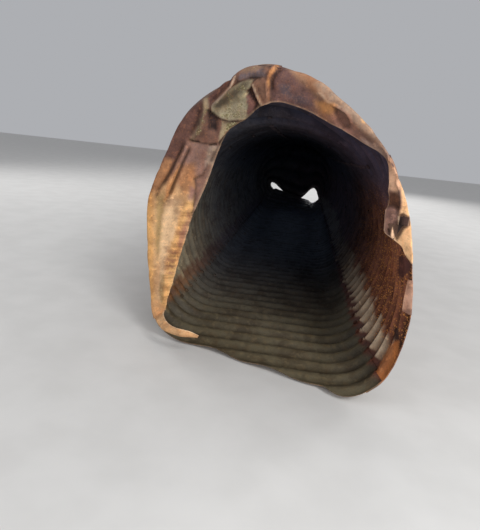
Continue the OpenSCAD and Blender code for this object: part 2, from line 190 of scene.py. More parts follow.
def sheet_middle(keys, y, layer, corrugated=1.0, move=0.0):
    """A plate's middle as a grid of points [column][row]: columns by angle, rows along the pipe."""
    offset = layer * LAYER + PLATE / 2 + wave(y) * DEPTH / 2 * corrugated
    point, normal = section(keys)
    flat = point[:, None, :] + normal[:, None, :] * offset[..., None] + move
    return np.stack([flat[..., 0], np.broadcast_to(y, flat.shape[:2]) - ORIGIN_Y, flat[..., 1]], -1)


def moved(table, keys, v):
    """How far an end of the pipe is bent from the round section: not at v = 0, wholly at v = 1."""
    shift = np.stack([smooth(table, 1, keys), smooth(table, 2, keys)], -1) * MEAN_R
    return shift[:, None, :] * eased(v)[None, :, None]


def mouth_end(keys):
    return smooth(MOUTH_RIM, 3, keys) * MEAN_R


def outlet_end(keys):
    return OUTLET_Y - smooth(OUTLET_RIM, 3, keys) * MEAN_R


def barrel_sheet(keys, y, layer):
    return sheet_middle(keys, y[None, :], layer)


def mouth_sheet(keys, v, layer):
    y = MOUTH_Y + (mouth_end(keys)[:, None] - MOUTH_Y) * v[None, :]
    kept = np.interp(keys, *RIM_WAVE)[:, None]
    return sheet_middle(keys, y, layer, 1 - (1 - kept) * v * v, moved(MOUTH_RIM, keys, v))


def outlet_sheet(keys, v, layer):
    y = CRUSH_Y + (outlet_end(keys)[:, None] - CRUSH_Y) * v[None, :]
    return sheet_middle(keys, y, layer, 1.0, moved(OUTLET_RIM, keys, v))


# A lip leaves the rim in the wall's direction, which is taken from NEAR_RIM on. Its roll is ROLL_MOST
# or ROLL_SHARE of its width, whichever is less. Towards its free edge it bows to the front
NEAR_RIM = 0.97
ROLL_MOST = 0.055
ROLL_SHARE = 0.45
EDGE_SHARE = 0.55
FRONT_BOW = 0.25


def lip_sheet(keys, w, layer):
    """The folded lip from the rim at w = 0 to its free edge at w = 1."""
    foot = mouth_sheet(keys, np.array([NEAR_RIM, 1.0]), layer)
    rim = foot[:, 1]
    ahead = rim - foot[:, 0]
    ahead /= np.linalg.norm(ahead, axis=1, keepdims=True)
    a = np.radians(keys)
    r = smooth(LIP_EDGE, 1, keys) * MEAN_R
    edge = np.stack([r * np.cos(a), mouth_end(keys) + smooth(LIP_EDGE, 2, keys) * MEAN_R - ORIGIN_Y,
                     AXIS_Z + r * np.sin(a)], -1)
    span = edge - rim
    roll = np.minimum(ROLL_MOST, ROLL_SHARE * np.linalg.norm(span, axis=1, keepdims=True))
    c1 = rim + ahead * roll
    c2 = edge - span * EDGE_SHARE + np.array([0, -FRONT_BOW, 0]) * roll
    t = w[None, :, None]
    return ((1 - t) ** 3 * rim[:, None] + 3 * t * (1 - t) ** 2 * c1[:, None]
            + 3 * t * t * (1 - t) * c2[:, None] + t ** 3 * edge[:, None])


# How far the tail bows to the front at half its height
TAIL_BELLY = 0.012


def tail_sheet(places, w, start):
    """The tail from place 0, which is the column of points at its start, to its last row."""
    first = TAIL[0].copy()
    first[:2] = start[0, :2] / MEAN_R + [0, ORIGIN_Y / MEAN_R]
    table = np.column_stack([np.arange(len(TAIL) + 1), np.vstack([first, TAIL])])
    x, y, low, high, lean = (smooth(table, k, places)[:, None] * MEAN_R for k in range(1, 6))
    z = AXIS_Z + low + (high - low) * w
    band = np.stack([x + lean * w, y - ORIGIN_Y - TAIL_BELLY * np.sin(math.pi * w) + 0 * z, z], -1)
    share = eased(places)[:, None, None]
    return start[None] * (1 - share) + band * share


def grid_normals(p):
    n = np.cross(np.gradient(p, axis=0), -np.gradient(p, axis=1))
    return -n / np.maximum(np.linalg.norm(n, axis=-1, keepdims=True), 1e-9)


def rgb(r, g, b):
    """A colour from the usual 0 to 255 display values, as linear light."""
    return np.array([((c / 255 + 0.055) / 1.055) ** 2.4 if c > 10 else c / 255 / 12.92
                     for c in (r, g, b)])


# Numbers that scatter the noise
HASH = np.array([12.9898, 78.233, 37.719])
HASH_SCALE = 43758.5453
SEED_STEP = 17.3
SEED_START = 100


def grain(points, scale, seed):
    """Smooth noise from 0 to 1 at points of the model."""
    q = np.asarray(points) * scale + seed * SEED_STEP + SEED_START
    i = np.floor(q)
    f = eased(q - i)
    total = 0
    for corner in np.ndindex(2, 2, 2):
        share = np.prod(np.where(corner, f, 1 - f), -1)
        hashed = np.sin((i + corner) @ HASH) * HASH_SCALE
        total = total + share * (hashed - np.floor(hashed))
    return total


def nearest(uv, line):
    """Distance from points to a line through pixels of the photograph, and where along it, 0 to 1."""
    line = np.array(line, float)
    best = np.full(uv.shape[:-1], 1e9)
    place = np.zeros(uv.shape[:-1])
    before = 0
    for p, q in zip(line[:-1], line[1:]):
        d = q - p
        t = np.clip((uv - p) @ d / (d @ d), 0, 1)
        off = np.linalg.norm(uv - p - t[..., None] * d, axis=-1)
        place = np.where(off < best, before + t * np.linalg.norm(d), place)
        best = np.minimum(best, off)
        before += np.linalg.norm(d)
    return best, place / before


# How much of a stroke its ends fade over
FADE = 0.16


def stroke(uv, line, width):
    """1 on a line, less beside it and towards its two ends."""
    off, place = nearest(uv, line)
    return np.exp(-(off / width) ** 2) * eased(np.minimum(place, 1 - place) / FADE)


def step(value, width):
    """0 where value is well below 0, 1 where it is well above, over width."""
    return eased(value / width + 0.5)


def patch(uv, outline, soft):
    """1 inside an outline of pixels, 0 outside, blurred over soft pixels."""
    x, y = uv[..., 0], uv[..., 1]
    inside = np.zeros(x.shape, bool)
    for (x0, y0), (x1, y1) in zip(outline, outline[1:] + outline[:1]):
        if y0 != y1:
            inside ^= ((y0 > y) != (y1 > y)) & (x < (x1 - x0) * (y - y0) / (y1 - y0) + x0)
    off = nearest(uv, outline + outline[:1])[0] * np.where(inside, 1, -1)
    return step(off, 2 * soft)


# Edges that turn by more degrees than this are shaded sharp
SHARP = 50


def closed_sheet(name, middle, nodes, tones, cells=None):
    """A sheet of real thickness from the grid of its middle surface, standing for CAD nodes."""
    n, m = middle.shape[:2]
    normal = grid_normals(middle)
    inner, outer = middle - normal * PLATE / 2, middle + normal * PLATE / 2
    cells = np.ones((n - 1, m - 1), bool) if cells is None else cells
    k = n * m
    at = np.arange(k).reshape(n, m)
    a, b, c, d = at[:-1, :-1], at[1:, :-1], at[1:, 1:], at[:-1, 1:]
    front = np.stack([a, b, c, d], -1)[cells] + k
    back = np.stack([a, d, c, b], -1)[cells]
    padded = np.pad(cells, 1)
    sides = []
    for (p, q), gone in (((a, b), padded[1:-1, :-2]), ((b, c), padded[2:, 1:-1]),
                         ((c, d), padded[1:-1, 2:]), ((d, a), padded[:-2, 1:-1])):
        open_edge = cells & ~gone
        p, q = p[open_edge], q[open_edge]
        sides.append(np.stack([q + k, p + k, p, q], -1))
    quads = np.concatenate([front, back] + sides)
    points = np.concatenate([inner.reshape(-1, 3), outer.reshape(-1, 3)])
    used, quads = np.unique(quads, return_inverse=True)
    mesh = bpy.data.meshes.new(name)
    mesh.from_pydata(points[used].tolist(), [], quads.reshape(-1, 4).tolist())
    mesh.shade_smooth()
    mesh.set_sharp_from_angle(angle=math.radians(SHARP))
    for key, both in tones.items():
        shape = (n, m, 3) if key == "tone" else (n, m)
        values = np.concatenate([np.broadcast_to(side, shape).reshape(k, -1) for side in both])
        set_values(mesh, key, values[used])
    add_piece(name, mesh, nodes)


def set_values(mesh, name, values):
    """A value or a colour for each point of a mesh, which the material reads by name."""
    if values.shape[1] == 3:
        values = np.concatenate([values, np.ones((len(values), 1))], 1)
        mesh.attributes.new(name, "FLOAT_COLOR", "POINT").data.foreach_set("color", values.ravel())
    else:
        mesh.attributes.new(name, "FLOAT", "POINT").data.foreach_set("value", values.ravel())


def add_piece(name, mesh, nodes=()):
    piece = bpy.data.objects.new(name, mesh)
    bpy.context.scene.collection.objects.link(piece)
    mesh.materials.append(plate_rust)
    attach(piece, "root")
    if nodes:
        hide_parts(*nodes)


class Nodes:
    """Short ways to add shader nodes to a material."""

    def __init__(self, name):
        self.material = bpy.data.materials.new(name)
        self.material.use_nodes = True
        self.tree = self.material.node_tree
        self.inputs = self.tree.nodes["Principled BSDF"].inputs

    def put(self, socket, value):
        if hasattr(value, "is_output"):
            self.tree.links.new(value, socket)
        else:
            socket.default_value = value

    def add(self, kind, out, sockets=None, **values):
        """An output of a new node, with its values set and its sockets set or linked."""
        node = self.tree.nodes.new(kind)
        for key, value in values.items():
            setattr(node, key, value)
        for key, value in (sockets or {}).items():
            self.put(node.inputs[key], value)
        return node.outputs[out]

    def attribute(self, name, out="Fac"):
        return self.add("ShaderNodeAttribute", out, attribute_name=name)

    def place(self, scale=(1, 1, 1)):
        spot = self.add("ShaderNodeTexCoord", "Object")
        return self.add("ShaderNodeMapping", "Vector", {"Vector": spot, "Scale": scale})

    def noise(self, vector, scale, detail, rough, distortion=0.0):
        return self.add("ShaderNodeTexNoise", "Fac", {
            "Vector": vector, "Scale": scale, "Detail": detail, "Roughness": rough,
            "Distortion": distortion})

    def cells(self, vector, scale):
        return self.add("ShaderNodeTexVoronoi", "Distance", {"Vector": vector, "Scale": scale})

    def math(self, operation, a, b, clamp=False):
        return self.add("ShaderNodeMath", 0, {0: a, 1: b}, operation=operation, use_clamp=clamp)

    def plus(self, a, b):
        return self.math("ADD", a, b)

    def times(self, a, b, clamp=False):
        return self.math("MULTIPLY", a, b, clamp)

    def band(self, value, low, high, most=1.0):
        """0 below low, most above high, smooth between."""
        share = self.add("ShaderNodeMapRange", "Result", {
            "Value": value, "From Min": low, "From Max": high}, interpolation_type="SMOOTHSTEP")
        return share if most == 1.0 else self.times(share, most)

    def mix(self, share, a, b, blend="MIX"):
        return self.add("ShaderNodeMix", 2, {0: share, 6: a, 7: b}, data_type="RGBA", blend_type=blend)

    def tinted(self, colour, r, g, b):
        return self.mix(1.0, colour, (r, g, b, 1.0), "MULTIPLY")

    def bump(self, height, strength, distance, under=None):
        sockets = {"Strength": strength, "Distance": distance, "Height": height}
        if under is not None:
            sockets["Normal"] = under
        return self.add("ShaderNodeBump", "Normal", sockets)


def shade(*colour):
    return (*rgb(*colour), 1.0)


def rust(name):
    """Rusted plate: the broad colour comes from the mesh, and the nodes add rust, flakes and pits."""
    n = Nodes(name)
    place = n.place()
    broad = n.noise(place, 5.0, 6, 0.6, 0.4)
    mid = n.noise(place, 24.0, 7, 0.66, 0.3)
    fine = n.noise(place, 95.0, 5, 0.7)
    runs = n.noise(n.place((9, 9, 1.2)), 2.2, 4, 0.55, 0.2)
    tone = n.attribute("tone", "Color")
    dark = n.tinted(tone, 0.58, 0.52, 0.5)
    colour = n.mix(n.band(broad, 0.35, 0.6), dark, tone)
    colour = n.mix(n.band(mid, 0.52, 0.66, 0.8), colour, n.tinted(tone, 1.36, 1.26, 1.14))
    colour = n.mix(n.band(mid, 0.46, 0.36, 0.5), colour, dark)
    colour = n.mix(n.band(runs, 0.5, 0.66, 0.25), colour, n.tinted(tone, 1.12, 0.82, 0.6))
    colour = n.mix(n.band(fine, 0.56, 0.68, 0.6), colour, n.tinted(colour, 0.45, 0.4, 0.38))
    colour = n.mix(n.band(fine, 0.44, 0.34, 0.4), colour, n.tinted(colour, 1.4, 1.32, 1.2))
    flake = n.times(n.band(mid, 0.38, 0.52), n.band(n.cells(place, 80.0), 0.46, 0.3))
    flake = n.times(flake, n.attribute("fleck"), True)
    chip = n.mix(n.band(fine, 0.4, 0.6), shade(216, 150, 80), shade(160, 92, 50))
    colour = n.mix(flake, colour, chip)
    grow = n.plus(n.attribute("lichen"), n.times(n.plus(mid, -0.5), 1.2))
    grow = n.plus(grow, n.times(n.plus(fine, -0.5), 1.4))
    green = n.mix(n.band(n.cells(place, 90.0), 0.5, 0.2), shade(104, 94, 62), shade(172, 164, 126))
    colour = n.mix(n.band(grow, 0.4, 0.75, 0.85), colour, green)
    n.put(n.inputs["Base Color"], colour)
    dry = n.plus(n.times(fine, 0.15), 0.78)
    n.put(n.inputs["Roughness"], n.math("SUBTRACT", dry, n.times(n.attribute("wet"), 0.35), True))
    n.put(n.inputs["Metallic"], 0.0)
    n.put(n.inputs["Specular IOR Level"], 0.3)
    soft = n.bump(mid, 0.6, 0.007)
    n.put(n.inputs["Normal"], n.bump(n.plus(fine, n.times(flake, 0.6)), 0.6, 0.0025, soft))
    return n.material


plate_rust = rust("plate_rust")

# Colours are display values, from 0 to 255
TAN = (202, 160, 116)
PALE = (214, 184, 150)
BROWN = (124, 92, 78)

# Creases and ridges of the lips: a line through pixels of the photograph, its width in pixels and
# the height of the relief in metres
CREASES = {
    "groove beside the outer roll": ([(233, 75), (227.5, 85), (218, 94.5), (209, 103)], 2.2, -0.012),
    "ridge over the lichen panel": ([(235.5, 75), (230.5, 86.5), (221.5, 96), (212.5, 105)], 1.3, 0.012),
    "knuckle of the outer roll": ([(206, 97), (206.5, 106), (201.5, 126), (193, 139)], 2.6, 0.02),
    "groove outside the knuckle": ([(199, 108), (196, 122), (189, 137)], 2.6, -0.012),
    "first long crease": ([(186, 141), (182, 150), (175.7, 162), (170.6, 172), (165, 181), (158.5, 190),
        (154, 204)], 2.4, -0.022),
    "ridge between the creases": ([(188.5, 142), (183.8, 152), (178.5, 164), (172.8, 177), (166.5, 190),
        (163, 203)], 2.2, 0.018),
    "second long crease": ([(192, 144), (186.8, 154), (181.8, 164), (176.5, 177.5), (172, 189), (168, 199)],
        1.9, -0.017),
    "swell beside the creases": ([(196, 143), (190, 158), (184, 172), (177, 188), (172, 205), (169, 230)],
        3.6, 0.009),
    "furrow down the left lip": ([(168, 193), (162, 212), (158.5, 235), (157.5, 262)], 3.0, -0.008),
    "ripple down the left lip": ([(178, 200), (171, 226), (166, 252), (163, 276)], 3.4, -0.005),
    "slit": ([(208.5, 145.6), (213, 144.8), (217.5, 144.8)], 1.0, -0.02),
    "step under the knuckle": ([(188, 140.3), (194, 141), (201, 141)], 1.2, -0.016),
    "edge of the inner band": ([(206.3, 165.2), (202.2, 175.4), (194, 179), (195.4, 187), (194, 198),
        (192.5, 210), (190, 221)], 1.3, -0.012),
    "roll over the panel": ([(237, 80.5), (247, 75), (256, 71.5), (263, 70)], 3.2, 0.015),
    "groove under that roll": ([(249, 78.5), (256, 78), (262, 80)], 2.0, -0.01),
    "pleat's left edge": ([(252.5, 83), (256.3, 95.8), (261.2, 105)], 0.9, 0.009),
    "pleat's middle": ([(258.5, 84), (261.5, 95), (265, 104)], 0.8, -0.006),
    "pleat's right ridge": ([(278, 64), (272, 70.3), (268.4, 77), (267.8, 83), (268.5, 92), (269, 100)],
        1.5, 0.015),
    "hollow beside the pleat": ([(282.5, 67), (276, 73), (271.5, 82), (271.6, 92)], 2.6, -0.014),
    "roll of the right lip": ([(307, 82), (321, 93.5), (331, 103.5), (340, 108.6), (349.5, 117), (362, 130),
        (375, 142), (388, 153)], 3.4, 0.006),
    "trough of the right lip": ([(300, 88), (314, 97), (322, 105)], 5.0, -0.004),
    "ridge of the right dent": ([(330, 103), (340, 107.5), (347, 112.5), (350.5, 118), (353, 127)], 1.6,
        0.01),
    "fold beside the recess": ([(396, 178), (401, 192), (402, 206), (398.5, 217)], 1.6, 0.012),
}
# Panels of the lips: their outlines in pixels of the photograph
LICHEN_PANEL = [(211.4, 106), (221, 97), (229.8, 89.2), (240, 82.5), (248.2, 79.6), (253.3, 79.6),
    (251, 86.6), (246.4, 91), (255, 103), (253.3, 110.1), (245.1, 119.4), (230.8, 120.4), (220.6, 117.8),
    (212, 112)]
# The lichen panel's lower part, which carries painted light
LIT_LOWER_PART = [(222, 108), (244, 101), (247, 112), (243, 119), (229, 119.5), (219, 116)]
LOWER_PANEL = [(220, 118.5), (230.8, 121), (238.2, 121.6), (235, 125), (228.8, 129.5), (224.7, 134.6),
    (219, 142), (208.5, 142.5), (193, 140.2), (199, 128), (205, 112), (212, 112.5)]
PANEL_SHADE = [(207, 110), (214, 112.5), (219, 118), (216, 130), (209, 129)]
UNDER_PANEL = [(219, 141.5), (224.7, 135), (229.5, 129.8), (232.5, 127.5), (225.5, 146.5), (219, 147)]
EDGE_BAND = [(217.6, 146), (206.8, 165.2), (202.8, 175.6), (194.6, 179.2), (196, 187), (194.6, 198),
    (192.6, 212), (189, 226), (196, 222), (208, 192), (219, 160), (226, 144)]
PLEAT = [(252.4, 84), (256.3, 95.8), (261.2, 105.4), (264, 107.5), (269.2, 103.5), (268.9, 95), (267.6, 81),
    (264, 78), (258, 79)]
BESIDE_PLEAT = [(247, 90.5), (253, 86), (257, 97), (261, 106), (254, 111), (256, 103)]
DENT = [(334, 107), (340, 108.8), (346, 112.6), (349.5, 118), (351, 125), (349, 130), (342, 128),
    (336, 121), (333, 113)]
RECESS = [(385, 197), (390, 192), (395, 191.5), (399.6, 197), (400.6, 205), (398.4, 210), (393, 207),
    (385, 208)]
RIBBED = [(186, 200), (197, 206), (184, 256), (170, 312), (160, 302), (166, 262), (178, 222)]
# Panels pressed in or out: outline, blur in pixels, height in metres
PANELS = [
    (LICHEN_PANEL, 0.8, 0.02), (LOWER_PANEL, 0.8, 0.014), (PANEL_SHADE, 3.0, -0.024),
    (UNDER_PANEL, 1.2, -0.02), (EDGE_BAND, 1.0, -0.012), (PLEAT, 1.0, 0.014),
    (BESIDE_PLEAT, 1.6, -0.012), (DENT, 1.8, -0.016), (RECESS, 2.4, -0.016),
]
# Colours of the lips: outline, blur in pixels, colour, how far it covers
COLOURS = {
    "left lip": ([(140, 184), (176, 182), (200, 196), (190, 240), (172, 320), (140, 330)], 9, TAN, 1.0),
    "its outer side": ([(140, 190), (153, 190), (154, 320), (140, 320)], 3, (196, 146, 84), 0.7),
    "lichen furrow": ([(156, 196), (164, 192), (163, 235), (158, 262), (155, 240)], 3, (158, 132, 86),
        0.75),
    "salmon stripe": ([(169, 194), (180, 200), (174, 240), (164, 300), (158, 300), (160, 250), (163, 215)],
        4, (210, 176, 138), 0.85),
    "ribbed edge": (RIBBED, 2.5, (212, 164, 106), 0.85),
    "mauve stretch of the edge": ([(183, 224), (190, 220), (186, 240), (181, 250), (177, 246)], 2.2,
        (164, 118, 100), 0.75),
    "speckled foot": ([(160, 274), (165, 274), (163, 307), (158, 306)], 2, (122, 98, 58), 0.6),
    "foot": ([(150, 300), (160, 300), (167, 322), (160, 330), (150, 322)], 3, (178, 134, 94), 0.8),
    "outer roll": ([(158, 186), (150, 186), (160, 160), (186, 105), (200, 60), (240, 60), (236, 76),
        (222, 92), (206, 112), (190, 138), (176, 162), (166, 180)], 3, (96, 66, 58), 1.0),
    "foot of the outer roll": ([(150, 192), (156, 170), (166, 158), (173, 160), (168, 176), (158, 190)], 3,
        (158, 112, 76), 0.85),
    "lit ridge between creases": ([(171, 176), (180, 164), (176, 182), (170, 196), (164, 200), (166, 188)],
        2, (184, 132, 86), 0.85),
    "mauve plate": ([(187, 141), (218, 143), (212, 165), (203, 172), (195, 180), (178, 170)], 2.5,
        (130, 100, 90), 0.95),
    "orange patch": ([(180, 166), (194, 163), (197, 178), (194, 190), (184, 194), (178, 182)], 4.2,
        (176, 126, 86), 0.85),
    "plum spot": ([(190, 186), (196, 190), (194, 200), (187, 200)], 2, (134, 98, 96), 0.7),
    "inner band": (EDGE_BAND, 1.2, (128, 96, 84), 1.0),
    "grey top of the inner band": ([(208, 146), (220, 146), (213, 165), (206, 165)], 2, (146, 128, 114),
        0.8),
    "knuckle": ([(204, 97), (208, 96), (208.5, 106), (204, 128), (195, 140.5), (191, 139.5), (199, 126),
        (203, 110)], 1.8, (126, 112, 90), 0.9),
    "lower panel": (LOWER_PANEL, 1.2, (96, 68, 58), 0.9),
    "shade under the lichen panel": (PANEL_SHADE, 2, (62, 44, 42), 0.95),
    "pale streak of the lower panel": ([(222, 120.5), (237, 122), (230, 127.5), (224, 135), (219, 140.5),
        (220.5, 129)], 1.4, (150, 136, 108), 0.85),
    # Painted shadow cast by the lichen panel's lower edge
    "painted shadow under the lichen panel's edge": ([(219, 118.5), (238, 121.5), (234, 124), (223, 123)], 1.2, (70, 52, 42),
        0.7),
    "under the lower panel": (UNDER_PANEL, 1, (70, 46, 44), 0.95),
    "lichen panel": (LICHEN_PANEL, 1.0, (124, 116, 94), 0.95),
    # Painted shade on the lichen panel's upper part and painted light on its lower part
    "its shaded upper part": ([(213, 106), (228, 92), (246, 81), (251, 82), (240, 93), (228, 102),
        (217, 110)], 2.4, (74, 64, 52), 0.85),
    "its lit lower part": (LIT_LOWER_PART, 2, (160, 150, 126), 0.85),
    "its maroon right part": ([(246, 93), (253.5, 83.5), (256, 92), (261, 104), (258, 108), (249, 115.5),
        (246.5, 113), (248, 104)], 1.4, (92, 60, 56), 0.95),
    "light between its two parts": ([(240, 98), (247, 91), (248, 93.5), (242, 100.5)], 1.0, (160, 148, 116),
        0.7),
    # Painted highlight along the sharp ridge over the lichen panel
    "painted highlight on the ridge over the lichen panel": ([(235, 75), (236.5, 76), (231, 87.5), (222.5, 97), (212.5, 106),
        (211.5, 105), (221.5, 95.5), (230, 86.5)], 0.7, (172, 152, 134), 0.8),
    "beside the pleat": (BESIDE_PLEAT, 1.2, (84, 56, 54), 1.0),
    # Grey-blue painted highlight along the roll at the crown
    "grey-blue highlight on the crown's roll": ([(236, 80), (240, 75), (256, 68), (264, 67), (266, 76), (254, 79), (247, 79)], 2.4,
        (96, 86, 90), 0.9),
    "brown crest": ([(240, 72), (256, 64), (272, 60), (278, 63), (262, 68), (246, 74)], 1.6, (140, 112, 94),
        0.85),
    "pleat": (PLEAT, 1.0, (118, 86, 70), 1.0),
    "pleat's pale edge": ([(251.5, 84), (253.2, 84), (262.2, 105), (260.6, 106)], 0.7, (174, 150, 124),
        0.8),
    "pleat's orange ridge": ([(279, 62), (280.5, 64), (270.5, 76), (268.6, 84), (268.8, 88), (267.6, 88),
        (267, 80), (270, 70)], 1.0, (188, 134, 86), 0.9),
    "lower part of that ridge": ([(267.6, 86), (269, 86), (269.4, 101), (267.6, 101)], 1.0, (138, 96, 70),
        0.9),
    "crown lip": ([(272, 76), (282, 66), (298, 74), (308, 84), (316, 100), (312, 112), (290, 106),
        (270, 101)], 3, (104, 76, 72), 0.95),
    "slate patch": ([(280, 84), (290, 84), (290, 94), (281, 94)], 3, (88, 80, 88), 0.75),
    "slate edge": ([(286, 94), (303, 95), (312, 104), (296, 104)], 3, (90, 76, 80), 0.8),
    "brown crest of the crown": ([(282, 64), (300, 69), (318, 79), (306, 82), (292, 73)], 2, (142, 116, 98),
        0.85),
    "start of the outer roll": ([(290, 68), (312, 72), (330, 86), (324, 98), (310, 88), (296, 76)], 5,
        (158, 116, 88), 0.9),
    "outer roll of the right lip": ([(314, 84), (326, 80), (362, 110), (394, 152), (386, 152), (354, 120),
        (334, 103)], 3.8, (164, 138, 118), 0.95),
    "highlight of the right lip": ([(318, 93), (321, 93), (332, 102.5), (341, 107), (338, 108.5),
        (328, 103)], 1.6, (186, 158, 134), 0.7),
    "orange patch of the right lip": ([(316, 101), (334, 105), (338, 116), (330, 120), (320, 112)], 4,
        (166, 116, 74), 0.95),
    "worn spot": ([(361, 119.5), (364.5, 120), (365.5, 123), (362.5, 123.6)], 0.8, (214, 168, 116), 0.8),
    "maroon round the dent": ([(326, 116), (336, 110), (348, 116), (358, 130), (370, 146), (362, 148),
        (344, 134)], 4, (144, 102, 88), 0.9),
    "orange left of the dent": ([(326, 100), (336, 106), (334, 116), (326, 112), (320, 104)], 2.6,
        (176, 124, 78), 0.75),
    # The dent's darker brown is partly its colour and partly painted shade in the hollow
    "dent": (DENT, 3.2, (112, 78, 66), 0.6),
    "below the dent": ([(346, 122), (360, 130), (376, 146), (370, 148), (354, 138)], 3, (118, 88, 78),
        0.85),
    "pale end of the right lip": ([(362, 138), (376, 144), (393, 156), (390, 162), (372, 150)], 3,
        (168, 142, 128), 0.9),
    "torn strip": ([(388, 160), (398, 170), (404, 190), (398, 216), (382, 240), (380, 226), (386, 206),
        (389, 184)], 2, (126, 100, 92), 1.0),
    "top of the torn strip": ([(388, 158), (395, 160), (401, 178), (400, 188), (396, 193), (388, 190)], 2.4,
        (232, 184, 150), 1.0),
    "foot of the torn strip": ([(383, 216), (390, 207), (397, 209), (398, 218), (394, 226), (384, 230)],
        2.2, (146, 112, 102), 0.85),
    "sunlit border": ([(397.5, 170), (404, 186), (413, 225), (414, 266), (396, 242), (392, 236), (399, 228),
        (399.6, 214), (402, 206), (401, 192)], 1.2, (240, 192, 144), 1.0),
    # Painted shade in the recess
    "recess": (RECESS, 3.2, (106, 68, 50), 0.95),
    # Painted highlight on the torn edge beside the curl
    "painted highlight on the torn edge beside the curl": ([(398.1, 216), (399.9, 216), (400.1, 226.5), (398.4, 226.5)], 0.7,
        (240, 208, 176), 0.9),
    "shade round the curl": ([(400, 213.5), (404, 213), (410, 217), (410, 226), (405, 229), (400, 228)],
        0.8, (84, 58, 46), 0.9),
    # Painted shade on the hanging end
    "painted shade on the hanging end": ([(391.6, 227), (406, 225), (404.5, 229.5), (400.5, 236), (396.8, 241.5)], 0.8,
        (88, 64, 50), 0.95),
    "end of the torn strip": ([(384, 224), (389, 218), (391.5, 228), (389, 238), (383, 235)], 1.6,
        (166, 128, 114), 0.8),
    # Painted shade in the pocket beside the torn strip
    "painted shade in the pocket beside the torn strip": ([(387.4, 228.5), (390.8, 227.5), (391, 235), (388.6, 235.6)], 0.8,
        (56, 38, 34), 0.95),
    # Painted light on the lit tip beside the pocket
    "painted light on the tip beside it": ([(390.8, 227.6), (394, 227.4), (394.4, 236.8), (391.2, 236.6)], 0.7,
        (222, 184, 154), 0.95),
    "hem of the torn strip": ([(382.4, 229), (384.2, 229), (386.6, 234), (396.6, 240), (396.4, 242.4),
        (385.6, 236.8)], 0.7, (226, 186, 154), 0.85),
    "hem": ([(398, 272), (414, 268), (413, 310), (400, 308)], 2, (186, 144, 122), 0.9),
}
# Lichen on the lips: outline, blur in pixels, how much
LICHEN = [
    ([(211.4, 107), (221, 97), (229.8, 89.2), (240, 83), (250, 81), (245, 92), (247, 104), (246, 114),
        (243, 119), (230.8, 119.5), (220.6, 117), (212, 111)], 1.6, 0.4),
    (LIT_LOWER_PART, 2, 0.55),
    ([(236, 86), (250, 80.5), (247, 88), (238, 97)], 1.6, 0.52),
    ([(160, 258), (167, 262), (166, 300), (161, 308), (157, 300)], 3, 0.38),
    ([(226, 121), (238.5, 121.4), (229, 130), (223, 134)], 1.4, 0.7),
    ([(204, 108), (208, 108), (200, 136), (193, 140)], 1.4, 0.5),
    ([(158, 196), (164, 193), (163, 232), (158, 240)], 2.5, 0.42),
    ([(206, 146), (219, 147), (214, 162), (206, 160)], 2, 0.35),
    ([(240, 70), (262, 63), (274, 61), (262, 68), (246, 73)], 1.5, 0.4),
]
# Dark bands across the left lip's free edge: middle, half length and half width in pixels
BANDS = [((174, 251.5), 6, 1.8), ((171, 260.5), 5.5, 2.0), ((170, 266), 5, 1.4), ((169.5, 273), 4, 1.3),
    ((181, 232), 5, 2.6), ((188.5, 215), 2.5, 6.0)]
BAND_COLOUR = (124, 82, 72)
BAND_COVER = 0.7
# Ribs of the left lip's free edge: height in metres, then place and spacing in pixels
RIBS = [(0.005, 249, 10.5), (0.0016, 0, 3.1)]
RIB_BLUR = 3
# Patches blurred over fewer pixels than this have plain edges, and the others frayed ones
CRISP = 1.3
# A hollow of this depth in metres gets all of the painted shade and a ridge of this height all of the
# painted highlight, and how much that darkens or lightens them
HOLLOW = 0.012
HOLLOW_SHADE = 0.62
RIDGE_HIGHLIGHT = 0.35


def blend(under, over, share):
    return under * (1 - share[..., None]) + over * share[..., None]


def lip_relief(points, uv):
    """Height of the lips' relief in metres: creases, pressed panels, ribs and unevenness."""
    height = sum(h * stroke(uv, line, width) for line, width, h in CREASES.values())
    height = height + sum(h * patch(uv, outline, blur) for outline, blur, h in PANELS)
    ribs = sum(h * np.sin(2 * math.pi * (uv[..., 1] - at) / gap) for h, at, gap in RIBS)
    height = height + patch(uv, RIBBED, RIB_BLUR) * ribs
    return height + 0.010 * (grain(points, 8, 1) - 0.5) + 0.005 * (grain(points, 26, 2) - 0.5)


def blurred(grid, reach):
    """A grid with each value spread over its neighbours, reach cells each way."""
    for axis in (0, 1):
        pad = [(reach + 1, reach) if k == axis else (0, 0) for k in (0, 1)]
        total = np.cumsum(np.pad(grid, pad, mode="edge"), axis)
        n = grid.shape[axis]
        upper = np.take(total, np.arange(2 * reach + 1, 2 * reach + 1 + n), axis)
        lower = np.take(total, np.arange(n), axis)
        grid = (upper - lower) / (2 * reach + 1)
    return grid


def hollows(height):
    """Painted shade in the hollows of a relief and painted highlight on its ridges, each from 0 to 1."""
    depth = 0.6 * (blurred(height, 2) - height) + 0.7 * (blurred(height, 5) - height)
    return np.clip(depth / HOLLOW, 0, 1), np.clip(-depth / HOLLOW, 0, 1)


def frayed(points, uv):
    """Places in the photograph, moved unevenly by a pixel or so."""
    for most, scale, seed in ((2.4, 24, 3), (2.0, 70, 8)):
        uv = uv + most * np.stack([grain(points, scale, seed + k) - 0.5 for k in (0, 1)], -1)
    return uv


